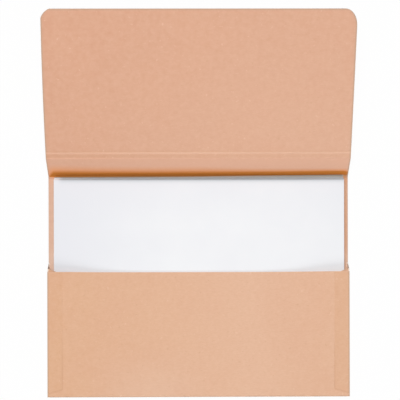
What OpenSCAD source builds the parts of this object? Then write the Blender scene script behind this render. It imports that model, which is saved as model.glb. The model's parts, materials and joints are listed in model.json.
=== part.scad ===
// File pocket for A4 sheets: one creased card blank, folded and glued into a shallow pocket,
// with a long flap that folds over the mouth and loose sheets of paper inside.
// It lies on its back panel. X runs across it, Y from the base fold to the flap, Z up.
// The origin is the centre of the back panel's outer face.

/* [Sheets] */
// Long side of a sheet, across the pocket
sheet_w = 297; // [210:1:420]
// Short side of a sheet
sheet_h = 210; // [160:1:297]
// Thickness of a sheet
sheet_t = 0.1; // [0.05:0.01:0.15]
// Height that each loose sheet takes up in the stack
sheet_pitch = 0.23; // [0.16:0.01:0.3]
// Number of sheets
sheet_count = 31; // [2:1:40]
// How far the top sheet lies back from the lowest one
sheet_fan = 2.5; // [0:0.1:8]
// How far the stack lies to the right of the pocket's middle
sheet_shift = 0.7; // [-1.5:0.1:1.5]
// Largest sideways offset of a sheet in the stack
sheet_stray = 0.1; // [0:0.1:2]
// Gap between the back panel and the lowest sheet
sheet_seat = 0.1; // [0.05:0.05:0.3]

/* [Card] */
// Thickness of the card
card_t = 0.4; // [0.3:0.05:0.6]
// Inside radius of the folds round the pocket
fold_r = 0.8; // [0.5:0.1:1.5]
// Radius of the bead that a crease raises on the inside of the card
bead_r = 0.35; // [0.3:0.05:0.5]
// Gap between a crease bead and the panels that it joins
crease_gap = 0.25; // [0.2:0.05:0.5]

/* [Pocket] */
// Gap from the sheets to the outer face of a side wall
side_gap = 5.5; // [4:0.5:20]
// Gap from the hinge crease to the lowest sheet
hinge_gap = 0.9; // [0.8:0.1:5]
// Gap from the top sheet to the outer face of the base wall
base_gap = 11.6; // [3:0.1:30]
// Free height between the top sheet and the glue tabs
head_room = 4.6; // [4.5:0.1:20]
// Height of the front panel, from the base wall to the mouth
front_h = 127.9; // [70:0.1:150]
// Gap left between the top sheet and the middle of the mouth, where the front panel sags
mouth_gap = 0.4; // [0.3:0.1:6]
// How far the middle of the mouth is drawn back towards the base
mouth_draw = 0.8; // [0:0.1:3]
// Flat margin between the sag and the glue tabs
sag_margin = 2; // [0:0.5:10]

/* [Side tabs] */
// Width of the glue tab that turns in under the front panel
tab_w = 14; // [10:0.5:30]
// How far a side wall reaches past the mouth along the back panel
tab_rise = 8; // [0:0.5:12]
// How far the head of a side wall slants down to its upper fold
wall_head_slant = 5; // [0:0.5:12]
// How far the head of a glue tab slants on down to its inner corner
tab_head_slant = 5.5; // [0:0.5:25]
// Gap from the base wall to the foot of a side wall
tab_foot = 4; // [3:0.5:12]
// How far the foot of a glue tab slants up to its inner corner
tab_foot_slant = 4; // [0:0.5:12]
// Slit at each end of a side wall's fold
tab_slit = 0.3; // [0.2:0.1:1]
// Thickness of the glue
glue_t = 0.1; // [0.05:0.05:0.3]
// Bare margin of a glue tab round its glue
glue_margin = 2.5; // [1:0.5:4]

/* [Flap] */
// How much longer the spine is than the pocket is deep
spine_room = 16.3; // [12:0.1:40]
// Distance between the two scores
score_pitch = 6.2; // [3:0.1:12]
// Length of the flap, from the upper score to its free edge
flap_l = 146.5; // [90:0.5:170]
// How far the flap's free end leans to the right
flap_lean = 0.7; // [0:0.1:3]
// How far each side of the flap draws in towards its free end
flap_taper = 0.3; // [0:0.1:3]
// Width of the left free corner's cut, across the flap
left_corner_w = 9; // [3:0.5:30]
// Length of the left free corner's cut, along the flap's side
left_corner_l = 9.5; // [3:0.5:30]
// Shape of the left free corner, from 1 for a straight cut to 2 for a round one
left_corner_shape = 1.5; // [1:0.1:2]
// Width of the right free corner's cut, across the flap
right_corner_w = 12; // [3:0.5:30]
// Length of the right free corner's cut, along the flap's side
right_corner_l = 17; // [3:0.5:30]
// Shape of the right free corner, from 1 for a straight cut to 2 for a round one
right_corner_shape = 2; // [1:0.1:2]
// Slope of the open spine
spine_angle = 53; // [30:1:80]
// Slope of the open band between the scores
band_angle = 24; // [10:1:60]
// Slope of the open flap
flap_angle = 20; // [5:1:45]

/* [Hidden] */
CARD = "#e3b594";
FOLD = "#d9a884";
PAPER = "#f2f3f5";
GLUE = "#efe6c8";
$fn = 64;

// Panels' outer sizes, from the stack of sheets and the gaps round it
stack_h = sheet_pitch * (sheet_count - 1) + sheet_t;
panel_w = sheet_w + 2 * side_gap;
back_h = hinge_gap + sheet_fan + sheet_h + base_gap;
half_w = panel_w / 2;
base_y = -back_h / 2;
hinge_y = back_h / 2;
mouth_y = base_y + front_h;

// Layers of the pocket, from the back panel up to the front panel
stack_z = card_t + sheet_seat;
tab_z = stack_z + stack_h + head_room;
glue_z = tab_z + card_t;
front_z = glue_z + glue_t;
pocket_d = front_z + card_t;

// Folds, side walls and glue tabs
fold_outer = fold_r + card_t;
fold_end_y = base_y + fold_outer;
wall_foot_y = base_y + tab_foot;
wall_head_y = mouth_y + tab_rise;
tab_head_y = wall_head_y - wall_head_slant;
tab_fold_x = half_w - fold_outer;

// Creases: each axis as [y, z], its bead flush with the card's outer face
spine_l = pocket_d + spine_room;
crease_end = bead_r + crease_gap;
hinge_axis = [hinge_y, bead_r];
lower_axis = hinge_axis + spine_l * [cos(spine_angle), sin(spine_angle)];
upper_axis = lower_axis + score_pitch * [cos(band_angle), sin(band_angle)];

// Sag of the front panel: its depth at the mouth, and the powers that keep it flat in the
// middle and ease it in from the base and the sides
mouth_sag = front_z - stack_z - stack_h - mouth_gap;
sag_half_w = tab_fold_x - tab_w - sag_margin;
sag_flat = 5;
sag_ease = 1.5;

// Grid of the front panel
sag_columns = 26;
sag_rows = 10;
front_xs = concat(
  [-half_w],
  [for (i = [0:sag_columns]) sag_half_w * (2 * i / sag_columns - 1)],
  [half_w]
);
front_ys = [for (j = [0:sag_rows]) fold_end_y + (mouth_y - fold_end_y) * j / sag_rows];

// Points along a side of the flap, and round one of its corners
side_steps = 12;
corner_steps = 16;

// Turn from one sheet's sideways offset to the next, so that no two neighbours line up
stray_turn = 137.5;

// Side pieces are drawn on the right: the left ones are their mirror image
module on_left() {
  mirror([1, 0, 0]) children();
}

// Section of a right-angle fold: a quarter ring that starts at the angle `from`
module fold_section(from) {
  intersection() {
    difference() {
      circle(r = fold_outer);
      circle(r = fold_r);
    }
    rotate(from) square(2 * fold_outer);
  }
}

// Section of a wall of height `head`, folded towards +x at its foot and at its head
module wall_section(head) {
  translate([fold_outer, fold_outer]) fold_section(180);
  translate([0, fold_outer]) square([card_t, head - 2 * fold_outer]);
  translate([fold_outer, head - fold_outer]) fold_section(90);
}

// The back panel gives way to the base fold and, between two slits, to each side wall's fold
module back_panel() {
  slot_h = wall_head_y - wall_foot_y + 2 * tab_slit;
  color(CARD) linear_extrude(card_t) difference() {
    translate([-half_w, fold_end_y]) square([panel_w, hinge_y - crease_end - fold_end_y]);
    for (side_x = [-half_w, half_w])
      translate([side_x - fold_outer, wall_foot_y - tab_slit])
        square([2 * fold_outer, slot_h]);
  }
}

// Base wall, folded at the back panel and at the front panel
module base_wall() {
  color(FOLD) translate([-half_w, base_y, 0])
    rotate([90, 0, 90]) linear_extrude(panel_w) wall_section(pocket_d);
}

// Share of the full sag at x across, s being 0 at the base and 1 at the mouth
function sag_share(x, s) = pow(s * max(0, 1 - pow(abs(x) / sag_half_w, sag_flat)), sag_ease);

// Front panel: a grid of upper and under points, flat over the glue tabs and sagging between them
module front_panel() {
  nx = len(front_xs);
  ny = len(front_ys);
  half_cells = [[[0, 0], [1, 1], [1, 0]], [[0, 0], [0, 1], [1, 1]]];
  function points_at(z) = [
    for (j = [0:ny - 1], i = [0:nx - 1])
      let (share = sag_share(front_xs[i], j / (ny - 1)))
        [front_xs[i], front_ys[j] - mouth_draw * share, z - mouth_sag * share]
  ];
  function over(p) = p[1] * nx + p[0];
  function under(p) = over(p) + nx * ny;
  upper_faces = [
    for (j = [0:ny - 2], i = [0:nx - 2], half_cell = half_cells)
      [for (corner = half_cell) over([i, j] + corner)]
  ];
  under_faces = [for (f = upper_faces) [f[2], f[1], f[0]] + nx * ny * [1, 1, 1]];
  rim = concat(
    [for (i = [0:nx - 2]) [i, 0]],
    [for (j = [0:ny - 2]) [nx - 1, j]],
    [for (i = [nx - 1:-1:1]) [i, ny - 1]],
    [for (j = [ny - 1:-1:1]) [0, j]]
  );
  edge_faces = [
    for (n = [0:len(rim) - 1])
      let (a = rim[n], b = rim[(n + 1) % len(rim)])
        each [[over(a), over(b), under(b)], [over(a), under(b), under(a)]]
  ];
  color(CARD) polyhedron(
    points = concat(points_at(pocket_d), points_at(front_z)),
    faces = concat(upper_faces, under_faces, edge_faces)
  );
}

// What the slanted head takes off a side wall between its two folds, and off its upper fold
module head_cut() {
  beyond = wall_head_y + fold_outer;
  translate([half_w + fold_outer, 0, 0]) rotate([0, -90, 0]) linear_extrude(3 * fold_outer)
    polygon([
      [fold_outer, wall_head_y],
      [glue_z - fold_outer, tab_head_y],
      [pocket_d, tab_head_y],
      [pocket_d, beyond],
      [fold_outer, beyond]
    ]);
}

// Right side wall: folds up from the back panel and turns in under the front panel
module side_wall() {
  color(FOLD) difference() {
    translate([half_w, wall_head_y, 0])
      rotate([90, 0, 0]) linear_extrude(wall_head_y - wall_foot_y)
        mirror([1, 0]) wall_section(glue_z);
    head_cut();
  }
}

// Outline of a glue tab on the right, both ends slanted, drawn in by `inset`
module tab_outline(inset) {
  outer = inset;
  inner = tab_w - inset;
  function foot_y(u) = wall_foot_y + tab_foot_slant * u / tab_w + inset;
  function head_y(u) = tab_head_y - tab_head_slant * u / tab_w - inset;
  polygon([
    [tab_fold_x - outer, foot_y(outer)],
    [tab_fold_x - outer, head_y(outer)],
    [tab_fold_x - inner, head_y(inner)],
    [tab_fold_x - inner, foot_y(inner)]
  ]);
}

// Glue tab on the right, lying under the front panel
module glue_tab() {
  color(CARD) translate([0, 0, tab_z]) linear_extrude(card_t) tab_outline(0);
}

// Glue line on the right, between the glue tab and the front panel
module glue_line() {
  color(GLUE) translate([0, 0, glue_z]) linear_extrude(glue_t) intersection() {
    tab_outline(glue_margin);
    translate([0, base_y]) square([half_w, front_h - glue_margin]);
  }
}

// Raised bead of a crease
module crease_bead(axis) {
  color(FOLD) translate([-half_w, axis[0], axis[1]])
    rotate([0, 90, 0]) cylinder(r = bead_r, h = panel_w);
}

// Card of the outline given, running along +Y from a crease and sloping up from it
module card_from(axis, slope) {
  color(CARD) translate([0, axis[0], axis[1]]) rotate([slope, 0, 0])
    translate([0, 0, -bead_r]) linear_extrude(card_t) children();
}

// Outline of a strip of card between two creases
module strip_outline(length) {
  translate([-half_w, crease_end]) square([panel_w, length - 2 * crease_end]);
}

module hinge_crease() {
  crease_bead(hinge_axis);
}

module spine_panel() {
  card_from(hinge_axis, spine_angle) strip_outline(spine_l);
}

module lower_score() {
  crease_bead(lower_axis);
}

module score_band() {
  card_from(lower_axis, band_angle) strip_outline(score_pitch);
}

module upper_score() {
  crease_bead(upper_axis);
}

// Points up a side of the flap as [distance from its middle line, distance from the score]: the
// side draws in by `taper` and its corner is cut over a width w and a length l
function flap_side(taper, w, l, shape) = [
  for (i = [0:side_steps + corner_steps])
    let (
      turn = 90 * max(0, i - side_steps) / corner_steps,
      straight_l = flap_l - l - crease_end,
      s = i < side_steps ? crease_end + straight_l * i / side_steps : flap_l - l * (1 - sin(turn)),
      cut = pow(max(0, s - flap_l + l) / l, shape)
    )
      [half_w - taper * pow(s / flap_l, 2) - w * (1 - pow(max(0, 1 - cut), 1 / shape)), s]
];

// Flap, drawn from its right side's score end round to its left side's score end
module flap_panel() {
  right = flap_side(flap_taper - flap_lean, right_corner_w, right_corner_l, right_corner_shape);
  left = flap_side(flap_taper + flap_lean, left_corner_w, left_corner_l, left_corner_shape);
  last = len(left) - 1;
  card_from(upper_axis, flap_angle)
    polygon(concat(right, [for (i = [0:last]) [-left[last - i][0], left[last - i][1]]]));
}

// Loose sheets, each lying a little further back from the hinge than the one below
module paper_sheets() {
  lowest_y = hinge_y - hinge_gap - sheet_h;
  color(PAPER) for (i = [0:sheet_count - 1])
    translate([
      sheet_shift + sheet_stray * sin(stray_turn * i) - sheet_w / 2,
      lowest_y - sheet_fan * i / (sheet_count - 1),
      stack_z + sheet_pitch * i
    ]) cube([sheet_w, sheet_h, sheet_t]);
}

back_panel();
base_wall();
front_panel();
on_left() side_wall();  // left_side_wall
side_wall();  // right_side_wall
on_left() glue_tab();  // left_glue_tab
glue_tab();  // right_glue_tab
on_left() glue_line();  // left_glue_line
glue_line();  // right_glue_line
hinge_crease();
spine_panel();
lower_score();
score_band();
upper_score();
flap_panel();
paper_sheets();
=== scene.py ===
"""Looks of the card file pocket: creased buff card, white sheets, a pale floor and soft light.

The card, the sheets and the camera's place are in millimetres, in the frame of the CAD part. The
materials, the floor and the lamps are in metres. A value for each side gives the left one first, and
a span gives where a change starts and where it ends.
"""

import json
import math

import bmesh
import bpy
import numpy as np
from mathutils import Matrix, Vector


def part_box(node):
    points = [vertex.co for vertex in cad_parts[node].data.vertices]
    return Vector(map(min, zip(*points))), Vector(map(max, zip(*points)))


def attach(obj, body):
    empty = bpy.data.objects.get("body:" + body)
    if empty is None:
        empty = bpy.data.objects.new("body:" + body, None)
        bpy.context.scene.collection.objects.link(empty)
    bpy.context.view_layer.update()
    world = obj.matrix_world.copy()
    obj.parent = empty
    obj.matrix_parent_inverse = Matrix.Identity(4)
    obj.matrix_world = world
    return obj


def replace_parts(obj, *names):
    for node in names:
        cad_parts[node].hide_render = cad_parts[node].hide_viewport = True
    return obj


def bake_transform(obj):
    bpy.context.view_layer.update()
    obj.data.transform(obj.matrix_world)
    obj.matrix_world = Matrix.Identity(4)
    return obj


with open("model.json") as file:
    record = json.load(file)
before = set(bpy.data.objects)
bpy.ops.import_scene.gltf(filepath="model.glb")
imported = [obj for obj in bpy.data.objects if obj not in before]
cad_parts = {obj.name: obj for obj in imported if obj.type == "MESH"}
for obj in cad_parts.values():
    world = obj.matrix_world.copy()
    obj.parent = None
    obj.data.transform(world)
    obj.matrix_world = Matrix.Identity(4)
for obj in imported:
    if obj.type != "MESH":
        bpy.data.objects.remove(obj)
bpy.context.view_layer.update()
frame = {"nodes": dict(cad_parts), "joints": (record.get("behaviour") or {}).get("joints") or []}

MM = 0.001

# Card
CARD_T = 0.4
FOLD_MID_R = 1.0
RIM_BULGE = 0.06
SHARP_ANGLE = math.radians(38)

# Pocket
TAB_W = 14.0
WALL_HEAD_SLANT = 5.0
TAB_HEAD_SLANT = 5.5
TAB_FOOT_SLANT = 4.0
TAB_SLIT = 0.3
TAB_RELIEF = 0.16
TAB_RELIEF_SPREAD = 0.65
MOUTH_DRAW = 0.8
SAG_MARGIN = 2.0
SAG_FLAT = 5
SAG_EASE = 1.5

# Flap; a corner is cut over a width and a length, and its shape runs from 1, straight, to 2, round
FLAP_SLOPE = math.radians(20)
FLAP_ARCH = 1.9
FLAP_ARCH_LEAN = 0.7
CORNERS = {-1: (9.0, 9.5, 1.5), 1: (12.0, 17.0, 2.0)}
TAPERS = {-1: 1.0, 1: -0.4}

# Creases
CREASE_HALF_W = 1.6
RIDGE_H = 0.3
HINGE_RIDGE_H = 0.1
RIDGE_HALF_W = 0.9

# Sheets
SHEET_COUNT = 31
SHEET_T = 0.12
SHEET_W = 297.0
SHEET_H = 210.0
SHEET_PITCH = 0.23
SHEET_FAN = 2.5
SHEET_STRAY = 0.1
STRAY_TURN = 2.4

# Steps of the meshes, and how far from an edge their extra rows and columns lie
FOLD_STEPS = 8
WALL_STEPS = 5
BACK_STEP = 8
FRONT_STEP = 4
TAB_STEP = 2.5
STRIP_STEP = 6
STRIP_ROW_STEP = 1.2
FLAP_ROW_STEP = 5
CREASE_ROWS = 17
CORNER_ROWS = 14
SHEET_STEP = 45
TOP_SHEET_STEP = 9
EDGE_OFFSETS = (0.35, 0.9, 1.8)
MARGIN_OFFSETS = (0.35, 0.9, 1.8, 2.6, 3.5)
TAB_EDGE_OFFSETS = (-1.4, -0.9, -0.5, -0.2, 0.1, 0.4, 0.9)
TAB_FOOT_MARGIN = 1.2
TAB_FOOT_STEP = 0.4
STRIP_FOOT_OFFSETS = (0.3, 0.6, 0.9, 1.5)
FLAP_FOOT_ROWS = (2.0, 2.5, 3.1)
FLAP_END_OFFSETS = (0.35, 0.9)
SHEET_SIDE_OFFSETS = (0.3, 0.8, 3, 6, 9)
SHEET_END_OFFSETS = (0.2, 0.5, 1, 1.6, 2.4, 3.4, 5)

# The same for places that run from 0 to 1 along a wall, or from -1 to 1 across the flap
WALL_SHARE_STEP = 0.05
WALL_SHARE_OFFSETS = (0.003, 0.007, 0.015)
FLAP_SHARE_STEP = 0.04
FLAP_SHARE_OFFSETS = (0.002, 0.006, 0.012, 0.025)

# Camera, fitted to the photograph; its turn is in degrees and its near clip in metres
CAMERA_AT = (-10.16, 89.24, 1250.0)
CAMERA_TURN = (0.040, 0.545, 0.12)
CAMERA_LENS = 109.24
SENSOR_W = 36.0
CLIP_START = 0.05


def node_box(name):
    """Lowest and highest corner of a CAD node, in millimetres."""
    low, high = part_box(name)
    return np.array(low) / MM, np.array(high) / MM


def joint_axis(name):
    """Place of a crease's axis as (y, z), in millimetres."""
    joint = next(j for j in frame["joints"] if j["name"] == name)
    return np.array(joint["pos_m"][1:]) / MM


back_low, back_high = node_box("back_panel")
base_low, _ = node_box("base_wall")
wall_low, wall_high = node_box("right_side_wall")
front_low, front_high = node_box("front_panel")
tab_low, tab_high = node_box("right_glue_tab")
_, flap_high = node_box("flap_panel")
stack_low, stack_high = node_box("paper_sheets")

HALF_W = back_high[0]
BASE_Y = base_low[1]
FOLD_END_Y = back_low[1]
MOUTH_Y = front_high[1]
FRONT_MID_Z = front_high[2] - CARD_T / 2
MOUTH_SAG = front_high[2] - front_low[2] - CARD_T
TAB_MID_Z = tab_low[2] + CARD_T / 2
TAB_FOLD_X = tab_high[0]
TAB_EDGE_X = TAB_FOLD_X - TAB_W
FOOT_Y, HEAD_Y = wall_low[1], wall_high[1]
TAB_HEAD_Y = HEAD_Y - WALL_HEAD_SLANT

HINGE = joint_axis("hinge_fold")
LOWER = joint_axis("lower_score_fold")
UPPER = joint_axis("upper_score_fold")
HINGE_Y = HINGE[0]
SPINE_L = float(np.hypot(*(LOWER - HINGE)))
BAND_L = float(np.hypot(*(UPPER - LOWER)))
SPINE_SLOPE = math.atan2(*(LOWER - HINGE)[::-1])
BAND_SLOPE = math.atan2(*(UPPER - LOWER)[::-1])
AXIS_DROP = HINGE[1] - CARD_T / 2
FLAP_L = (flap_high[1] - UPPER[0] - HINGE[1] * math.sin(FLAP_SLOPE)) / math.cos(FLAP_SLOPE)


# Grids

# Decimals to which positions are rounded, so that equal ones merge
TICK_DIGITS = 5


def smoothstep(edge0, edge1, x):
    """0 up to edge0, 1 from edge1 on, and a smooth rise between them."""
    t = np.clip((x - edge0) / (edge1 - edge0), 0, 1)
    return t * t * (3 - 2 * t)


def along_x(x, pairs):
    """Value at x across the pocket, from pairs of a place and the value there."""
    return np.interp(x, *zip(*pairs))


def ticks(low, high, step, extra=()):
    """Even positions about `step` apart from low to high, with the extra ones put in."""
    count = max(1, round((high - low) / step))
    even = np.linspace(low, high, count + 1)
    inside = [e for e in extra if low < e < high]
    return np.array(sorted(set(np.round(np.concatenate([even, inside]), TICK_DIGITS))))


def near_ends(low, high, offsets=EDGE_OFFSETS):
    """Positions close to both ends, where an edge's worn look and rounding need them."""
    return [low + o for o in offsets] + [high - o for o in offsets]


def grid(xs, ys, place):
    """Array [row, column, xyz] of place(x, y) over the positions given."""
    x, y = np.meshgrid(xs, ys)
    return np.stack(place(x, y), axis=-1)


def near_edge(*distances, full=0.2, reach=1.7):
    """1 within `full` of a cut edge, fading to 0 at `reach` from it; each distance is an array."""
    nearest = np.minimum.reduce([np.abs(d) for d in distances])
    return 1 - smoothstep(full, reach, nearest)


# Meshes

def unit(v):
    """Vectors of the same directions with a length of 1."""
    return v / np.maximum(np.linalg.norm(v, axis=-1, keepdims=True), 1e-12)


def grid_normals(points):
    """Normals of a grid's surface, upwards where its columns follow +X and its rows +Y."""
    across = np.gradient(points, axis=1)
    along = np.gradient(points, axis=0)
    return unit(np.cross(across, along))


def boundary_edges(keep):
    """Directed edges, as pairs of (row, column), with a kept cell on their left only."""
    edges = set()
    for j, i in zip(*np.nonzero(keep)):
        ring = [(j, i), (j, i + 1), (j + 1, i + 1), (j + 1, i)]
        edges.update(zip(ring, ring[1:] + ring[:1]))
    return [(a, b) for a, b in edges if (b, a) not in edges]


def rim_points(points, normals, rim_edges):
    """Middle points of a sheet's cut edges, pushed out a little to round the edges."""
    outward = {}
    for a, b in rim_edges:
        push = unit(np.cross(points[b] - points[a], normals[a]))
        for p in (a, b):
            outward[p] = outward.get(p, 0) + push
    return {p: points[p] + unit(outward[p]) * RIM_BULGE for p in sorted(outward)}


def sheet_data(points, thickness, keep=None, relief=0.0):
    """Vertices and faces of a closed sheet round a grid of points on its middle surface.

    relief is a height added to the upper face. The third list gives each vertex's row and column,
    and whether it counts as upper; those of the rim do."""
    rows, columns = points.shape[:2]
    keep = np.ones((rows - 1, columns - 1), bool) if keep is None else keep
    normals = grid_normals(points)
    lift = np.broadcast_to(relief, (rows, columns))[..., None]
    upper = points + normals * (thickness / 2 + lift)
    lower = points - normals * thickness / 2
    cells = [(int(j), int(i)) for j, i in zip(*np.nonzero(keep))]
    used = sorted({(j + a, i + b) for j, i in cells for a in (0, 1) for b in (0, 1)})
    number = {p: n for n, p in enumerate(used)}
    verts = [upper[p] for p in used] + [lower[p] for p in used]
    where = [(p, True) for p in used] + [(p, False) for p in used]
    below = len(used)
    faces = []
    for j, i in cells:
        ring = [number[p] for p in ((j, i), (j, i + 1), (j + 1, i + 1), (j + 1, i))]
        faces.append(ring)
        faces.append([v + below for v in reversed(ring)])
    rim_edges = sorted(boundary_edges(keep))
    rim = {}
    for p, point in rim_points(points, normals, rim_edges).items():
        rim[p] = len(verts)
        verts.append(point)
        where.append((p, True))
    for a, b in rim_edges:
        faces.append([number[b], number[a], rim[a], rim[b]])
        faces.append([rim[b], rim[a], number[a] + below, number[b] + below])
    return verts, faces, where


def put_in_scene(name, data):
    """An object of the data, linked into the scene."""
    obj = bpy.data.objects.new(name, data)
    bpy.context.scene.collection.objects.link(obj)
    return obj


def make_mesh(name, verts, faces, attributes, material):
    """An object with a mesh of the vertices and faces, and a list of values for each attribute."""
    mesh = bpy.data.meshes.new(name)
    mesh.from_pydata([tuple(np.asarray(v) * MM) for v in verts], [], faces)
    for key, values in attributes.items():
        layer = mesh.attributes.new(key, "FLOAT", "POINT")
        layer.data.foreach_set("value", np.asarray(values, np.float32))
    work = bmesh.new()
    work.from_mesh(mesh)
    bmesh.ops.recalc_face_normals(work, faces=work.faces)
    work.to_mesh(mesh)
    work.free()
    mesh.shade_smooth()
    mesh.set_sharp_from_angle(angle=SHARP_ANGLE)
    mesh.materials.append(material)
    obj = put_in_scene(name, mesh)
    return obj


def card_piece(name, points, keep=None, relief=0.0, upper=None, both=None):
    """A piece of card; `upper` and `both` hold arrays of surface values, for its upper face or all."""
    verts, faces, where = sheet_data(points, CARD_T, keep, relief)
    attributes = {}
    for key, values in (both or {}).items():
        attributes[key] = [values[p] for p, _ in where]
    for key, values in (upper or {}).items():
        attributes[key] = [values[p] if on_top else 0.0 for p, on_top in where]
    return make_mesh(name, verts, faces, attributes, CARD)


# Materials

def srgb(r, g, b):
    """Linear RGBA of an 8-bit sRGB colour."""
    def linear(c):
        c /= 255
        return c / 12.92 if c <= 0.04045 else ((c + 0.055) / 1.055) ** 2.4
    return (linear(r), linear(g), linear(b), 1.0)


WHITE = (1, 1, 1, 1)
CARD_COLOUR = srgb(231, 187, 158)
CARD_RED = srgb(223, 170, 141)
CARD_WARM = srgb(222, 173, 135)
CARD_INNER_WARM = srgb(214, 159, 131)
CARD_INNER = srgb(223, 175, 148)
CARD_PALE = srgb(240, 203, 176)
# Painted light on the spine, and painted highlight on the lower score
PAINTED_LIGHT_COLOUR = srgb(242, 190, 162)
# Painted highlight along the upper score
LINE_HIGHLIGHT = srgb(234, 190, 162)
CARD_CORE = srgb(250, 236, 222)
CARD_DARK = srgb(205, 155, 122)
CARD_SOIL = srgb(191, 160, 137)
# Grey painted shade beside the sheets' edges by the hinge
GREY_SHADE_COLOUR = srgb(190, 180, 170)
# A line of painted shade where the grey by the sheets ends
SHADE_LINE_COLOUR = srgb(140, 128, 105)
# Painted shade of the hinge's valley, orange, then brown
VALLEY_SHADE_ORANGE = srgb(244, 164, 110)
VALLEY_SHADE_BROWN = srgb(203, 123, 50)
PAPER_COLOUR = srgb(245, 246, 248)
PAPER_GREY = srgb(234, 235, 240)
# Painted shade on the sheets' edges by the hinge
PAPER_EDGE_SHADE = srgb(158, 168, 175)
GLUE_COLOUR = srgb(240, 230, 200)

# Painted shade: where the card is warmer and darker and the paper greyer, as a span of x or y and the
# shares at its two ends
WARM_SHADE_LEFT_X = (-0.16, 0.06, 0.7, 0.0)
WARM_SHADE_RIGHT_X = (0.05, 0.15, 0.0, 0.22)
WARM_SHADE_FLAP_Y = (0.16, 0.28, 0.0, 0.52)
WARM_SHADE_CORNER_X = (-0.15, 0.0, 0.22, 0.0)
WARM_SHADE_CORNER_Y = (0.20, 0.26, 0.0, 1.0)
PAPER_SHADE_TOP_X = (-0.12, 0.0, 0.98, 0.57)
PAPER_SHADE_TOP_Y = (0.06, 0.11, 0.0, 1.0)
PAPER_SHADE_LEFT_X = (-0.15, -0.03, 0.95, 0.0)
PAPER_SHADE_RIGHT_X = (0.09, 0.15, 0.0, 0.32)

# Spans of a noise's values that show as a tone: even, cloudy, or in its peaks only
EVEN = (0.3, 0.7)
CLOUDY = (0.35, 0.65)
PEAKS = (0.70, 0.78)

# Painted shade in the hinge's valley: the card there turns orange, then brown, as its surface value
# rises
VALLEY_SHADE_ORANGE_SPAN = (0.0, 0.65)
VALLEY_SHADE_BROWN_SPAN = (0.46, 0.69)

# The card's other surface values: the stain lies under its grain, the rest over it in this order,
# each with its strength and colour
STAIN_STRENGTH = 0.45
SURFACE_LAYERS = {
    # Painted shade: on the band, beside the upper score, along the tabs' edges, by the hinge, and the
    # sheets' painted shadow on the back panel's right margin
    "painted_shade": (0.3, CARD_DARK),
    # Painted light on the spine, and painted highlight on the lower score
    "painted_light": (0.6, PAINTED_LIGHT_COLOUR),
    # Painted highlight along the upper score
    "line": (0.6, LINE_HIGHLIGHT),
    # Soil of the card's edges; on the sheets the same surface value carries painted shade
    "soil_and_shade": (0.75, CARD_SOIL),
    # Grey painted shade beside the sheets' edges by the hinge
    "grey_shade": (1.0, GREY_SHADE_COLOUR),
    # A line of painted shade where the grey by the sheets ends
    "shade_line": (1.0, SHADE_LINE_COLOUR),
    # Wear on the mouth's rim, and painted light on the back panel, a patch of the front panel and the
    # side walls' heads
    "wear_and_light": (0.8, CARD_CORE),
}

# Sockets of the mix node that take and give colours
MIX_A, MIX_B, MIX_RESULT = 6, 7, 2


class Nodes:
    """Short calls for building the nodes of a material or a world."""

    def __init__(self, owner):
        owner.use_nodes = True
        self.owner = owner
        self.tree = owner.node_tree
        self.coords = self.add("ShaderNodeTexCoord").outputs["Object"]

    def fill(self, node, inputs):
        """Links each value to the node's socket of that key, or sets it there if it is a constant."""
        for key, value in inputs.items():
            if isinstance(value, bpy.types.NodeSocket):
                self.tree.links.new(value, node.inputs[key])
            else:
                node.inputs[key].default_value = value
        return node

    def fill_own(self, name, inputs):
        """The same for a node that the tree has from the start."""
        return self.fill(self.tree.nodes[name], inputs)

    def add(self, kind, inputs=None, **settings):
        node = self.tree.nodes.new(kind)
        for key, value in settings.items():
            setattr(node, key, value)
        return self.fill(node, inputs or {})

    def places(self):
        """X and Y of a point, in the frame of the part."""
        split = self.add("ShaderNodeSeparateXYZ", {0: self.coords})
        return split.outputs["X"], split.outputs["Y"]

    def noise(self, scale, detail=3.0, roughness=0.55, stretch=(1, 1, 1), offset=0.0):
        place = self.add("ShaderNodeMapping", {
            "Vector": self.coords, "Scale": stretch, "Location": (offset, offset, offset)})
        return self.add("ShaderNodeTexNoise", {
            "Vector": place.outputs["Vector"], "Scale": scale, "Detail": detail,
            "Roughness": roughness}).outputs["Fac"]

    def span(self, value, low, high, to_low=0.0, to_high=1.0):
        return self.add("ShaderNodeMapRange", {
            "Value": value, "From Min": low, "From Max": high,
            "To Min": to_low, "To Max": to_high}).outputs["Result"]

    def attribute(self, key):
        return self.add("ShaderNodeAttribute", attribute_name=key).outputs["Fac"]

    def math(self, operation, a, b):
        return self.add("ShaderNodeMath", {0: a, 1: b}, operation=operation).outputs[0]

    def times(self, a, b):
        return self.math("MULTIPLY", a, b)

    def mix(self, fac, a, b):
        node = self.add("ShaderNodeMix", {0: fac, MIX_A: a, MIX_B: b}, data_type="RGBA")
        return node.outputs[MIX_RESULT]

    def bump(self, height, strength, distance, normal=None):
        inputs = {"Height": height, "Strength": strength, "Distance": distance}
        if normal is not None:
            inputs["Normal"] = normal
        return self.add("ShaderNodeBump", inputs).outputs["Normal"]

    def in_view(self):
        """1 for rays of the camera and those that a shiny or clear surface sends on, else 0."""
        rays = self.add("ShaderNodeLightPath").outputs
        camera_or_shiny = self.math("MAXIMUM", rays["Is Camera Ray"], rays["Is Glossy Ray"])
        return self.math("MAXIMUM", camera_or_shiny, rays["Is Transmission Ray"])

    def show(self, output, first, second, share):
        """Sends the shaders of two nodes to an output node, mixed by the share of the second."""
        mix = self.add("ShaderNodeMixShader", {0: share, 1: first.outputs[0], 2: second.outputs[0]})
        self.fill_own(output, {"Surface": mix.outputs[0]})


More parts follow.
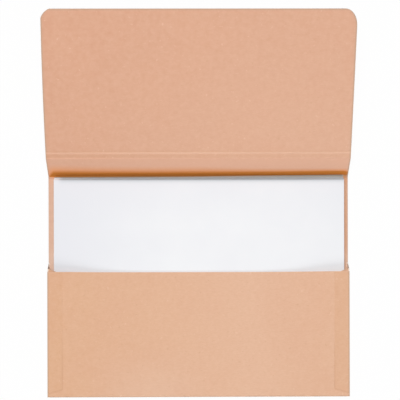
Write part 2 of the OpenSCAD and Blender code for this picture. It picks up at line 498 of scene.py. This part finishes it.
def card_material():
    """Uncoated buff card: cloudy tone, fine fibre, a few specks, soil and wear, and painted shade and
    light: darker, warmer tone towards the left, the right and the flap's far end, painted shade in the
    hinge's valley, beside the sheets and along the tabs' edges, and painted light on the spine, the
    scores, the back panel, a patch of the front panel and the side walls' heads.
    """
    n = Nodes(bpy.data.materials.new("buff_card"))
    x, y = n.places()
    inner = n.attribute("inner")
    # Painted shade: the warm colours below darken the card towards the left, the right, the flap's far
    # end and its left corner
    warm = n.mix(inner, CARD_WARM, CARD_INNER_WARM)
    corner = n.times(n.span(y, *WARM_SHADE_CORNER_Y), n.span(x, *WARM_SHADE_CORNER_X))
    colour = n.mix(inner, CARD_COLOUR, CARD_INNER)
    colour = n.mix(n.span(x, *WARM_SHADE_LEFT_X), colour, warm)
    colour = n.mix(n.span(x, *WARM_SHADE_RIGHT_X), colour, n.mix(inner, CARD_WARM, CARD_INNER))
    colour = n.mix(n.span(y, *WARM_SHADE_FLAP_Y), colour, warm)
    colour = n.mix(corner, colour, warm)
    colour = n.mix(n.times(n.attribute("stain"), STAIN_STRENGTH), colour, CARD_WARM)

    clouds = n.noise(scale=14, detail=2.0, offset=3.1)
    mottle = n.noise(scale=190, detail=4.0, roughness=0.6, offset=1.7)
    fibre = n.noise(scale=900, detail=3.0, roughness=0.6, stretch=(0.35, 1, 1))
    light_specks = n.noise(scale=330, detail=1.0, offset=7.9)
    dark_specks = n.noise(scale=290, detail=1.0, offset=5.3)
    colour = n.mix(n.span(clouds, *CLOUDY, to_high=0.3), colour, CARD_RED)
    colour = n.mix(n.span(mottle, *EVEN, to_high=0.22), colour, CARD_PALE)
    colour = n.mix(n.span(fibre, *EVEN, to_high=0.2), colour, CARD_DARK)
    colour = n.mix(n.span(light_specks, *PEAKS, to_high=0.35), colour, CARD_PALE)
    colour = n.mix(n.span(dark_specks, *PEAKS, to_high=0.25), colour, CARD_DARK)

    # Painted shade of the hinge's valley
    valley_shade = n.attribute("valley_shade")
    colour = n.mix(n.span(valley_shade, *VALLEY_SHADE_ORANGE_SPAN), colour, VALLEY_SHADE_ORANGE)
    colour = n.mix(n.span(valley_shade, *VALLEY_SHADE_BROWN_SPAN), colour, VALLEY_SHADE_BROWN)
    for key, (strength, layer) in SURFACE_LAYERS.items():
        colour = n.mix(n.times(n.attribute(key), strength), colour, layer)

    coarse_grain = n.noise(scale=600, detail=4.0, roughness=0.6)
    fine_grain = n.noise(scale=2600, detail=2.0, stretch=(0.4, 1, 1))
    coarse = n.bump(coarse_grain, strength=0.10, distance=0.0002)
    n.fill_own("Principled BSDF", {
        "Base Color": colour,
        "Roughness": n.span(n.noise(scale=420, detail=2.0), *EVEN, to_low=0.78, to_high=0.92),
        "Specular IOR Level": 0.25,
        "Normal": n.bump(fine_grain, strength=0.12, distance=0.0001, normal=coarse),
    })
    return n.owner


def paper_material():
    """Plain office paper: white, with a faint cloudiness and tooth, painted shade by the hinge and
    towards its sides, and painted shade on the sheets' edges by the hinge.
    """
    n = Nodes(bpy.data.materials.new("office_paper"))
    x, y = n.places()
    clouds = n.noise(scale=18, detail=2.0, offset=2.2)
    # Painted shade: the paper greys by the hinge and towards its left and right sides
    top = n.times(n.span(y, *PAPER_SHADE_TOP_Y), n.span(x, *PAPER_SHADE_TOP_X))
    colour = n.mix(n.span(clouds, *EVEN, to_high=0.35), PAPER_COLOUR, PAPER_GREY)
    colour = n.mix(top, colour, PAPER_GREY)
    colour = n.mix(n.span(x, *PAPER_SHADE_LEFT_X), colour, PAPER_GREY)
    colour = n.mix(n.span(x, *PAPER_SHADE_RIGHT_X), colour, PAPER_GREY)
    # Painted shade on the sheets' edges by the hinge
    colour = n.mix(n.attribute("soil_and_shade"), colour, PAPER_EDGE_SHADE)
    n.fill_own("Principled BSDF", {
        "Base Color": colour,
        "Roughness": n.span(n.noise(scale=500, detail=2.0), *EVEN, to_low=0.8, to_high=0.95),
        "Specular IOR Level": 0.2,
        "Normal": n.bump(n.noise(scale=1800, detail=3.0), strength=0.06, distance=0.0001),
    })
    return n.owner


def glue_material():
    """Dried adhesive: creamy, uneven and slightly glossy."""
    n = Nodes(bpy.data.materials.new("dried_glue"))
    n.fill_own("Principled BSDF", {
        "Base Color": n.mix(n.noise(scale=160, detail=3.0), GLUE_COLOUR, CARD_CORE),
        "Roughness": n.span(n.noise(scale=240, detail=2.0), *EVEN, to_low=0.35, to_high=0.6),
        "Normal": n.bump(n.noise(scale=400, detail=3.0), strength=0.2, distance=0.0003),
    })
    return n.owner


CARD = card_material()
PAPER = paper_material()
GLUE = glue_material()


# Painted shade and light of the hinge and the scores: x runs across the pocket, s along a panel from its
# crease

# How far up the spine the painted shade of the hinge's valley reaches, how sharply it ends, how strong
# it is at its two ends, and how plain the left end is on the back panel's side of the hinge
VALLEY_REACH = ((-144, 20.4), (-101, 18.8), (-50, 18.0), (0, 18.7), (80, 18.8), (101, 19.6), (136, 20.9))
VALLEY_SHARP = ((0, 1.0), (80, 1.6), (136, 2.2))
VALLEY_MIDDLE = 0.55
VALLEY_ENDS = (0.52, 0.75)
VALLEY_END_REACH = 5
PLAIN_END = 0.85
PLAIN_END_SPAN = (-0.6, 0.4)

# How far up the spine the grey painted shade by the sheets' edges reaches, how much of it there is from
# the left to the right, and how much on the margin to the right of the sheets
GREY_SHADE_REACH = ((-140, -0.9), (-95, -0.7), (-50, -0.25), (0, 0.3), (50, 1.2), (100, 1.9), (140, 2.6))
GREY_SHADE_SOFT = 0.38
GREY_SHADE_AMOUNTS = (0.85, 1)
GREY_SHADE_MARGIN = 0.3
SHEET_SIDE_SOFT = 0.3

# The line of painted shade where the grey ends: its strength, and its place above that end
SHADE_LINE = ((-60, 0.8), (0, 0.4), (50, 0.1), (80, 0.0))
SHADE_LINE_RISE = ((-60, 0.5), (0, 0.2))
SHADE_LINE_HALF_W = 1.3

# Painted light on the spine, painted shade on the band and beside the upper score, and painted
# highlights on the two score lines
SPINE_LIGHT = ((-122, 0.65), (-59, 0.89), (0, 1.0))
SPINE_LIGHT_VALLEY = 0.5
SPINE_LIGHT_END = (-0.64, 0.32)
BAND_SHADE = ((-122, 0.95), (-59, 0.55), (0, 0.42), (100, 0.33))
LOWER_HIGHLIGHT = ((-122, 0.7), (-59, 0.5), (0, 0.3))
UPPER_HIGHLIGHT = ((-122, 0.95), (-59, 1.35), (0, 1.65), (100, 1.3))
UPPER_HIGHLIGHT_SHIFT = -0.1
UPPER_HIGHLIGHT_HALF_W = 1.5
UPPER_SHADE = ((-122, 0.85), (-59, 0.5), (0, 0.45))
UPPER_SHADE_START = (0.5, 1.3)
UPPER_SHADE_END = (CREASE_HALF_W, 3.0)


def ends_fade(x):
    """1 along the hinge, less at its left end and a little less at its right end."""
    left, right = VALLEY_ENDS
    by_left = left + (1 - left) * smoothstep(0, VALLEY_END_REACH, HALF_W + x)
    by_right = right + (1 - right) * smoothstep(0, VALLEY_END_REACH, HALF_W - x)
    return by_left * by_right


def beside_sheets(x):
    """1 across the width of the sheets, 0 beside it."""
    inside = np.minimum(x - stack_low[0], stack_high[0] - x)
    return smoothstep(-SHEET_SIDE_SOFT, SHEET_SIDE_SOFT, inside)


def grey_shade_at_hinge(x, s):
    """How grey the card is beside the sheets' edges, where the grey is painted shade."""
    reach = along_x(x, GREY_SHADE_REACH)
    by_sheets = beside_sheets(x)
    along_sheets = np.interp(x, (-HALF_W, HALF_W), GREY_SHADE_AMOUNTS)
    amount = along_sheets * by_sheets + GREY_SHADE_MARGIN * (1 - by_sheets) * (x > 0)
    return amount * (1 - smoothstep(reach - GREY_SHADE_SOFT, reach + GREY_SHADE_SOFT, s))


def shade_line_at_hinge(x, s):
    """How dark the line of painted shade is where the grey ends."""
    middle = along_x(x, GREY_SHADE_REACH) + along_x(x, SHADE_LINE_RISE)
    line = 1 - smoothstep(0, SHADE_LINE_HALF_W, np.abs(s - middle))
    return along_x(x, SHADE_LINE) * beside_sheets(x) * line


def valley_shade_on_strip(x, s):
    """How strong the painted shade of the valley is on the hinge strip; its left end is plain on the
    back panel's side of the hinge.
    """
    left_end = 1 - smoothstep(-SHEET_SIDE_SOFT, SHEET_SIDE_SOFT, x - stack_low[0])
    plain = left_end * (1 - smoothstep(*PLAIN_END_SPAN, s))
    return ends_fade(x) * (1 - PLAIN_END * plain)


def valley_shade_on_spine(x, s):
    """How strong the painted shade of the valley is on the spine: most at the hinge, falling to 0 up the
    spine.
    """
    even = 1 - s / along_x(x, VALLEY_REACH)
    sharp = VALLEY_MIDDLE + (even - VALLEY_MIDDLE) * along_x(x, VALLEY_SHARP)
    return np.clip(sharp, 0, 1) * ends_fade(x)


def light_on_spine(x, s):
    """How much painted light pales the spine, away from the painted shade by the hinge."""
    return along_x(x, SPINE_LIGHT) * (1 - smoothstep(0, SPINE_LIGHT_VALLEY, valley_shade_on_spine(x, s)))


def shade_on_band(x, s):
    """How strong the painted shade on the band between the scores is, the same all along s."""
    return along_x(x, BAND_SHADE)


def ridge_share(s):
    """1 on a crease's axis, falling to 0 at the foot of its raised line."""
    return 1 - smoothstep(0, RIDGE_HALF_W, np.abs(s))


def lower_line_light(x, s):
    """How much painted light pales the lower score: the spine's painted light up to the line, and a
    painted highlight on the line.
    """
    spine = along_x(x, SPINE_LIGHT) * (1 - smoothstep(*SPINE_LIGHT_END, s))
    return along_x(x, LOWER_HIGHLIGHT) * ridge_share(s) + spine


def upper_line_highlight(x, s):
    """How strong the painted highlight on the upper score is: a line a little to the band's side of the
    axis.
    """
    line = 1 - smoothstep(0, UPPER_HIGHLIGHT_HALF_W, np.abs(s - UPPER_HIGHLIGHT_SHIFT))
    return along_x(x, UPPER_HIGHLIGHT) * line


def shade_by_upper_line(x, s):
    """How strong the painted shade is on the flap's side of the upper score."""
    beside = smoothstep(*UPPER_SHADE_START, s) * (1 - smoothstep(*UPPER_SHADE_END, s))
    return along_x(x, UPPER_SHADE) * beside


# Pocket

# Painted shade and light of the back panel, and its soil; the spans run from the hinge, from the mouth
# and across the right margin
BACK_HINGE_SPAN = (-8, -1)
BACK_MOUTH_SPAN = (8, 28)
BACK_MARGIN_SPAN = (151.2, 153.4)
# Painted shade of the hinge's valley, painted light on the left half and near the mouth, soil, the
# sheets' painted shadow on the right margin, and painted shade by the hinge on the right
BACK_VALLEY_SHADE = (0.1, 0.25)
BACK_LEFT_LIGHT = (0.2, 0.0)
BACK_MOUTH_LIGHT = 0.2
BACK_SOIL = (0.15, 0.0)
BACK_EDGE_SOIL = 0.5
BACK_MARGIN_SHADOW = 2.8
BACK_HINGE_SHADE = 2.4

# Painted shade and light of the front panel: the painted shade along the line of a tab's edge fades over
# a span that runs from the tab's foot; a worn rim at the mouth, and a patch of painted light low on the
# panel
TAB_LINE_SHADE = 1.4
TAB_LINE_SPREAD = 1.3
TAB_LINE_FADE = 0.82
TAB_LINE_SPAN = (12, 70)
MOUTH_WEAR = 0.15
MOUTH_WEAR_REACH = 0.8
# A patch of painted light low on the front panel
PATCH_LIGHT = 0.11
PATCH_X = -48
PATCH_X_SPAN = (5, 75)
PATCH_Y_SPAN = (-110, -55)

# Soil of the walls and the tabs, and how far the painted light by a side wall's head reaches
BASE_SOIL = 0.4
TAB_SOIL = 0.4
HEAD_LIGHT_REACH = 8


def fold_path(start, corner, end):
    """Points of a wall's section from start to end, both in a plane, with two quarter folds."""
    (a0, b0), (a1, _), (_, b2) = start, corner, end
    turn = np.linspace(0, math.pi / 2, FOLD_STEPS + 1)
    side = math.copysign(1, a1 - a0)
    first = [(a0 + side * FOLD_MID_R * math.sin(t), b0 + FOLD_MID_R * (1 - math.cos(t))) for t in turn]
    last = [(a0 + side * FOLD_MID_R * math.cos(t), b2 - FOLD_MID_R * (1 - math.sin(t))) for t in turn]
    middle = np.linspace(b0 + FOLD_MID_R, b2 - FOLD_MID_R, WALL_STEPS + 1)[1:-1]
    return np.array(first + [(a1, b) for b in middle] + last)


def wall_rows():
    """Places from 0 to 1 along a side wall or a tab, closer at its ends."""
    return ticks(0, 1, WALL_SHARE_STEP, near_ends(0, 1, WALL_SHARE_OFFSETS))


def build_back():
    """The panel on the table; between the slits its sides are left to the side walls' folds."""
    slot_low, slot_high = FOOT_Y - TAB_SLIT, HEAD_Y + TAB_SLIT
    columns = [-TAB_FOLD_X, TAB_FOLD_X, *near_ends(-HALF_W, HALF_W, MARGIN_OFFSETS)]
    rows = [slot_low, slot_high, *near_ends(slot_high, HINGE_Y)]
    xs = ticks(-HALF_W, HALF_W, BACK_STEP, columns)
    ys = ticks(FOLD_END_Y, HINGE_Y - CREASE_HALF_W, BACK_STEP, rows)
    points = grid(xs, ys, lambda x, y: (x, y, 0 * x + CARD_T / 2))
    mid_x, mid_y = np.meshgrid((xs[1:] + xs[:-1]) / 2, (ys[1:] + ys[:-1]) / 2)
    in_slot = (np.abs(mid_x) > TAB_FOLD_X) & (mid_y > slot_low) & (mid_y < slot_high)

    x, y = np.meshgrid(xs, ys)
    left, right = x < 0, x > 0
    by_hinge = smoothstep(*BACK_HINGE_SPAN, y - HINGE_Y)
    by_mouth = 1 - smoothstep(*BACK_MOUTH_SPAN, y - MOUTH_Y)
    on_margin = 1 - smoothstep(*BACK_MARGIN_SPAN, x)
    soil_and_shade = np.maximum(BACK_EDGE_SOIL * near_edge(HALF_W - np.abs(x)), np.where(left, *BACK_SOIL))
    # Painted shade by the hinge, painted light on the left half and near the mouth, and the sheets'
    # painted shadow on the right margin
    valley_shade = np.where(left, *BACK_VALLEY_SHADE) * by_hinge
    wear_and_light = (np.where(left, *BACK_LEFT_LIGHT) + BACK_MOUTH_LIGHT * by_mouth) * (1 - valley_shade)
    painted_shade = right * np.maximum(BACK_MARGIN_SHADOW * on_margin, BACK_HINGE_SHADE * by_hinge)
    piece = card_piece("back_card", points, keep=~in_slot, both={"soil_and_shade": soil_and_shade},
                       upper={"valley_shade": valley_shade, "inner": np.ones_like(x), "wear_and_light": wear_and_light, "painted_shade": painted_shade})
    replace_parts(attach(piece, "pocket"), "back_panel")


def build_base():
    """The wall at the lower edge, with its two folds."""
    path = fold_path((FOLD_END_Y, CARD_T / 2), (BASE_Y + CARD_T / 2, 0), (0, FRONT_MID_Z))
    xs = ticks(-HALF_W, HALF_W, BACK_STEP, near_ends(-HALF_W, HALF_W))
    points = np.array([[(x, y, z) for x in xs] for y, z in path])
    soil_and_shade = np.maximum(near_edge(HALF_W - np.abs(points[..., 0])), BASE_SOIL)
    piece = card_piece("base_card", points, both={"soil_and_shade": soil_and_shade})
    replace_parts(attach(piece, "pocket"), "base_wall")


def tab_foot(x):
    """Where a glue tab's foot lies, at x across the pocket."""
    return FOOT_Y + TAB_FOOT_SLANT * (TAB_FOLD_X - np.abs(x)) / TAB_W


def over_tab(x, y, spread=TAB_RELIEF_SPREAD):
    """1 where the front panel lies over a glue tab, 0 elsewhere, with a soft edge."""
    foot = tab_foot(np.maximum(np.abs(x), TAB_EDGE_X))
    inside = np.abs(x) - TAB_EDGE_X
    return smoothstep(-spread, spread, inside) * smoothstep(-spread, spread, y - foot)


def tab_edge_shade(x, y):
    """How strong the painted shade along the edge of a glue tab is on the front panel, fading out
    towards the mouth.
    """
    share = over_tab(x, y, TAB_LINE_SPREAD)
    fade = 1 - TAB_LINE_FADE * smoothstep(*TAB_LINE_SPAN, y - FOOT_Y)
    return 4 * TAB_LINE_SHADE * share * (1 - share) * fade


def lit_patch(x, y):
    """1 in the middle of a patch of painted light low on the front panel."""
    return (1 - smoothstep(*PATCH_X_SPAN, np.abs(x - PATCH_X))) * (1 - smoothstep(*PATCH_Y_SPAN, y))


def sagging(x, y):
    """Place of a point of the front panel, whose mouth has sunk in the middle."""
    half_w = TAB_EDGE_X - SAG_MARGIN
    up = np.clip((y - FOLD_END_Y) / (MOUTH_Y - FOLD_END_Y), 0, 1)
    share = (up * np.maximum(0, 1 - np.abs(x / half_w) ** SAG_FLAT)) ** SAG_EASE
    return x, y - MOUTH_DRAW * share, FRONT_MID_Z - MOUTH_SAG * share


def build_front():
    """The panel over the lower half, with the relief of the tabs beneath it and painted shade along
    their edges.
    """
    tab_columns = [TAB_EDGE_X + d for d in TAB_EDGE_OFFSETS]
    columns = [*tab_columns, *[-c for c in tab_columns], *near_ends(-HALF_W, HALF_W)]
    foot_low, foot_high = FOOT_Y - TAB_FOOT_MARGIN, FOOT_Y + TAB_FOOT_SLANT + TAB_FOOT_MARGIN
    rows = [*np.arange(foot_low, foot_high, TAB_FOOT_STEP), *near_ends(FOLD_END_Y, MOUTH_Y)]
    xs = ticks(-HALF_W, HALF_W, FRONT_STEP, columns)
    ys = ticks(FOLD_END_Y, MOUTH_Y, FRONT_STEP, rows)

    x, y = np.meshgrid(xs, ys)
    at_mouth = near_edge(MOUTH_Y - y, reach=MOUTH_WEAR_REACH)
    # Wear on the mouth's rim, and a patch of painted light low on the panel
    wear_and_light = MOUTH_WEAR * at_mouth + PATCH_LIGHT * lit_patch(x, y)
    piece = card_piece("front_card", grid(xs, ys, sagging), relief=TAB_RELIEF * over_tab(x, y),
                       both={"wear_and_light": wear_and_light, "soil_and_shade": near_edge(HALF_W - np.abs(x))},
                       upper={"painted_shade": tab_edge_shade(x, y), "stain": over_tab(x, y)})
    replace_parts(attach(piece, "pocket"), "front_panel")


def build_side(name, side):
    """A side wall with its two folds; its head slants down to the tab."""
    path = fold_path((TAB_FOLD_X, CARD_T / 2), (HALF_W - CARD_T / 2, 0), (0, TAB_MID_Z))
    fold_top, fold_foot = TAB_MID_Z - FOLD_MID_R, CARD_T / 2 + FOLD_MID_R

    def head(z):
        return HEAD_Y - WALL_HEAD_SLANT * np.clip((z - fold_foot) / (fold_top - fold_foot), 0, 1)

    points = np.array([[(side * x, FOOT_Y + (head(z) - FOOT_Y) * v, z) for x, z in path]
                       for v in wall_rows()])
    from_head = head(points[..., 2]) - points[..., 1]
    # Painted light by the wall's head, on both its faces
    piece = card_piece(name + "_side_card", points, both={
        "soil_and_shade": near_edge(points[..., 1] - FOOT_Y),
        "wear_and_light": near_edge(from_head, reach=HEAD_LIGHT_REACH)})
    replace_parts(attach(piece, "pocket"), name + "_side_wall")


def build_tab(name, side):
    """A glue tab under the front panel, and the look of its glue."""
    us = ticks(0, TAB_W, TAB_STEP, near_ends(0, TAB_W))
    vs = wall_rows()

    def place(u, v):
        foot = tab_foot(TAB_FOLD_X - u)
        head = TAB_HEAD_Y - TAB_HEAD_SLANT * u / TAB_W
        return side * (TAB_FOLD_X - u), foot + (head - foot) * v, 0 * u + TAB_MID_Z

    u, v = np.meshgrid(us, vs)
    length = TAB_HEAD_Y - FOOT_Y
    soil_and_shade = TAB_SOIL * near_edge(TAB_W - u, v * length, (1 - v) * length)
    piece = card_piece(name + "_tab_card", grid(us, vs, place), both={"soil_and_shade": soil_and_shade})
    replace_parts(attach(piece, "pocket"), name + "_glue_tab")
    glue = frame["nodes"][name + "_glue_line"]
    glue.data.materials.clear()
    glue.data.materials.append(GLUE)


# Flap

FLAP_SOIL_REACH = 2.2


def along_slope(axis, slope, distance, rise):
    """(y, z) of a point `distance` along a sloping panel from a crease, `rise` above its axis."""
    c, s = math.cos(slope), math.sin(slope)
    return axis[0] + distance * c - rise * s, axis[1] + distance * s + rise * c


def strip_columns():
    """Places across a strip, closer at its ends and at the sides of the sheets."""
    soft = (-SHEET_SIDE_SOFT, SHEET_SIDE_SOFT)
    sheet_sides = [x + d for x in (stack_low[0], stack_high[0]) for d in soft]
    return ticks(-HALF_W, HALF_W, STRIP_STEP, [*near_ends(-HALF_W, HALF_W), *sheet_sides])


def inner_face(x, s, shades):
    """Surface values of an inner face; each shade is a function of x and s."""
    return {"inner": np.ones_like(s), **{key: shade(x, s) for key, shade in shades.items()}}


def build_strip_panel(name, node, body, axis, slope, length, upper):
    """A flat strip of card between two creases; `upper` holds the shades of its inner face."""
    xs = strip_columns()
    foot_rows = [CREASE_HALF_W + d for d in STRIP_FOOT_OFFSETS]
    ss = ticks(CREASE_HALF_W, length - CREASE_HALF_W, STRIP_ROW_STEP, foot_rows)
    points = grid(xs, ss, lambda x, s: (x, *along_slope(axis, slope, s, -AXIS_DROP)))
    x, s = np.meshgrid(xs, ss)
    piece = card_piece(name, points, both={"soil_and_shade": near_edge(HALF_W - np.abs(x))},
                       upper=inner_face(x, s, upper))
    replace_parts(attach(piece, body), node)


def build_crease(name, node, axis, slopes, upper, ridge_h=RIDGE_H):
    """A narrow strip of card that bends at a crease and has a raised line on its inner face."""
    start = np.array(along_slope(axis, slopes[0], -CREASE_HALF_W, -AXIS_DROP))
    end = np.array(along_slope(axis, slopes[1], CREASE_HALF_W, -AXIS_DROP))
    middle = np.array(along_slope(axis, (slopes[0] + slopes[1]) / 2, 0, -AXIS_DROP))
    xs = strip_columns()
    ts = np.linspace(0, 1, CREASE_ROWS)
    path = [(1 - t) ** 2 * start + 2 * t * (1 - t) * middle + t * t * end for t in ts]
    points = np.array([[(x, y, z) for x in xs] for y, z in path])
    x, s = np.meshgrid(xs, (2 * ts - 1) * CREASE_HALF_W)
    piece = card_piece(name, points, relief=ridge_h * ridge_share(s),
                       both={"soil_and_shade": near_edge(HALF_W - np.abs(x))}, upper=inner_face(x, s, upper))
    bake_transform(piece)
    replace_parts(piece, node)


def flap_side(side, s):
    """Distance of the flap's side from the middle line, s along it from the upper score."""
    width, length, shape = CORNERS[side]
    into = np.clip((s - FLAP_L + length) / length, 0, 1)
    inset = width * (1 - (1 - into ** shape) ** (1 / shape))
    return HALF_W - TAPERS[side] * (s / FLAP_L) ** 2 - inset


def on_flap(u, s):
    """Place of a point of the slightly arched flap, u from -1 to 1 across it and s along it."""
    left, right = -flap_side(-1, s), flap_side(1, s)
    middle = 4 * (s - CREASE_HALF_W) * (FLAP_L - s) / FLAP_L ** 2
    arch = (FLAP_ARCH - FLAP_ARCH_LEAN * u) * middle
    x = (left + right) / 2 + u * (right - left) / 2
    return x, *along_slope(UPPER, FLAP_SLOPE, s, arch - AXIS_DROP)


def build_flap():
    """The long panel, with its two free corners cut off."""
    turn = np.linspace(0, math.pi / 2, CORNER_ROWS)
    corners = [FLAP_L - length * (1 - np.sin(turn)) for _, length, _ in CORNERS.values()]
    end_rows = [FLAP_L - d for d in FLAP_END_OFFSETS]
    rows = [*np.concatenate(corners), *end_rows, *FLAP_FOOT_ROWS]
    ss = ticks(CREASE_HALF_W, FLAP_L, FLAP_ROW_STEP, rows)
    us = ticks(-1, 1, FLAP_SHARE_STEP, near_ends(-1, 1, FLAP_SHARE_OFFSETS))
    points = grid(us, ss, on_flap)
    x = points[..., 0]
    _, s = np.meshgrid(us, ss)
    edges = (x + flap_side(-1, s), flap_side(1, s) - x, FLAP_L - s)
    piece = card_piece("flap_card", points, both={"soil_and_shade": near_edge(*edges, reach=FLAP_SOIL_REACH)},
                       upper=inner_face(x, s, {"painted_shade": shade_by_upper_line}))
    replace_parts(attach(piece, "flap"), "flap_panel")


# Sheets

# Painted shade on the sheets' edges by the hinge: its share and reach, and the spans over which it grows
# from the sides
EDGE_SHADE = 0.9
TOP_EDGE_SHADE = 0.75
EDGE_SHADE_REACH = 1.6
LEFT_SPAN = (1, 10)
SIDES_SPAN = (5, 60)
SIDES_SHARE = 0.88


def sheet_edge_shade(x, y, share):
    """How much painted shade greys a sheet: most along its edge by the hinge, less near its sides."""
    half = SHEET_W / 2
    from_left = smoothstep(*LEFT_SPAN, x + half)
    from_sides = smoothstep(*SIDES_SPAN, half - np.abs(x))
    edge = share * np.exp((y - SHEET_H) / EDGE_SHADE_REACH)
    return edge * from_left * (SIDES_SHARE + (1 - SIDES_SHARE) * from_sides)


def build_sheets():
    """The loose sheets, fanned and strayed a little; the top one has a finer mesh."""
    middle_x = (stack_low[0] + stack_high[0]) / 2
    lowest_y = stack_high[1] - SHEET_H
    half = SHEET_W / 2
    end_rows = [SHEET_H - d for d in SHEET_END_OFFSETS]
    verts, faces, soil_and_shade = [], [], []
    for i in range(SHEET_COUNT):
        on_top = i == SHEET_COUNT - 1
        step = TOP_SHEET_STEP if on_top else SHEET_STEP
        xs = ticks(-half, half, step, near_ends(-half, half, SHEET_SIDE_OFFSETS))
        ys = ticks(0, SHEET_H, step, end_rows)
        shift = middle_x + SHEET_STRAY * math.sin(STRAY_TURN * i)
        back = lowest_y - SHEET_FAN * i / (SHEET_COUNT - 1)
        level = stack_low[2] + SHEET_PITCH * i + SHEET_T / 2
        points = grid(xs, ys, lambda x, y: (x + shift, y + back, 0 * x + level))
        sheet_verts, sheet_faces, where = sheet_data(points, SHEET_T)
        # Painted shade along each sheet's edge by the hinge
        grey = sheet_edge_shade(*np.meshgrid(xs, ys), TOP_EDGE_SHADE if on_top else EDGE_SHADE)
        faces += [[n + len(verts) for n in face] for face in sheet_faces]
        verts += sheet_verts
        soil_and_shade += [grey[p] for p, _ in where]
    piece = make_mesh("loose_sheets", verts, faces, {"soil_and_shade": soil_and_shade}, PAPER)
    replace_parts(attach(piece, "papers"), "paper_sheets")


# Stage

FLOOR_HALF_W = 4.0
FLOOR_Z = -0.0003
FLOOR_COLOUR = (0.9, 0.9, 0.9, 1)
FLOOR_WHITE = 0.96
WORLD_LIGHT = 0.175

# Place, size and power of each lamp
LAMPS = {
    "key": ((-0.13, 0.55, 2.6), 1.0, 50.2),
    "left_fill": ((-1.2, -2.15, 1.28), 1.2, 12.4),
    "right_fill": ((1.2, -2.15, 1.28), 1.2, 12.4),
}


def build_floor():
    """A pale floor that takes shadows faintly and looks almost white where it is seen."""
    corners = [(x * FLOOR_HALF_W, y * FLOOR_HALF_W, FLOOR_Z)
               for x, y in ((-1, -1), (1, -1), (1, 1), (-1, 1))]
    mesh = bpy.data.meshes.new("floor")
    mesh.from_pydata(corners, [], [(0, 1, 2, 3)])
    n = Nodes(bpy.data.materials.new("floor_white"))
    matt = n.fill_own("Principled BSDF", {
        "Base Color": FLOOR_COLOUR, "Roughness": 0.9, "Specular IOR Level": 0.1})
    white = n.add("ShaderNodeEmission", {"Color": WHITE, "Strength": 1.0})
    n.show("Material Output", matt, white, n.times(n.in_view(), FLOOR_WHITE))
    mesh.materials.append(n.owner)
    floor = put_in_scene("floor", mesh)


def build_world():
    """Soft light from all round, white where it is seen."""
    world = bpy.data.worlds.new("studio")
    bpy.context.scene.world = world
    n = Nodes(world)
    soft = n.fill_own("Background", {"Color": WHITE, "Strength": WORLD_LIGHT})
    white = n.add("ShaderNodeBackground", {"Color": WHITE, "Strength": 1.0})
    n.show("World Output", soft, white, n.in_view())


def build_lamp(name, at, size, power):
    """A square lamp that faces the origin."""
    lamp = bpy.data.lights.new(name, "AREA")
    lamp.size = size
    lamp.energy = power
    obj = put_in_scene(name, lamp)
    obj.location = at
    aim = -obj.location
    obj.rotation_euler = aim.to_track_quat("-Z", "Y").to_euler()


def build_camera():
    """The camera of the photograph."""
    lens = bpy.data.cameras.new("camera")
    lens.sensor_width = SENSOR_W
    lens.lens = CAMERA_LENS
    lens.clip_start = CLIP_START
    camera = put_in_scene("camera", lens)
    camera.location = [v * MM for v in CAMERA_AT]
    camera.rotation_mode = "ZYX"
    camera.rotation_euler = [-math.radians(a) for a in CAMERA_TURN]
    bpy.context.scene.camera = camera


build_camera()
build_back()
build_base()
build_front()
for side_name, side_sign in (("left", -1), ("right", 1)):
    build_side(side_name, side_sign)
    build_tab(side_name, side_sign)
build_crease("hinge_strip", "hinge_crease", HINGE, (0, SPINE_SLOPE),
             upper={"valley_shade": valley_shade_on_strip, "grey_shade": grey_shade_at_hinge, "shade_line": shade_line_at_hinge},
             ridge_h=HINGE_RIDGE_H)
build_strip_panel("spine_card", "spine_panel", "spine", HINGE, SPINE_SLOPE, SPINE_L,
                  upper={"valley_shade": valley_shade_on_spine, "grey_shade": grey_shade_at_hinge, "shade_line": shade_line_at_hinge,
                         "painted_light": light_on_spine})
build_crease("lower_score_strip", "lower_score", LOWER, (SPINE_SLOPE, BAND_SLOPE),
             upper={"painted_light": lower_line_light})
build_strip_panel("band_card", "score_band", "band", LOWER, BAND_SLOPE, BAND_L,
                  upper={"painted_shade": shade_on_band})
build_crease("upper_score_strip", "upper_score", UPPER, (BAND_SLOPE, FLAP_SLOPE),
             upper={"line": upper_line_highlight, "painted_shade": shade_by_upper_line})
build_flap()
build_sheets()
build_floor()
build_world()
for lamp_name, (lamp_at, lamp_size, lamp_power) in LAMPS.items():
    build_lamp(lamp_name, lamp_at, lamp_size, lamp_power)

bpy.context.scene.view_settings.view_transform = "Standard"
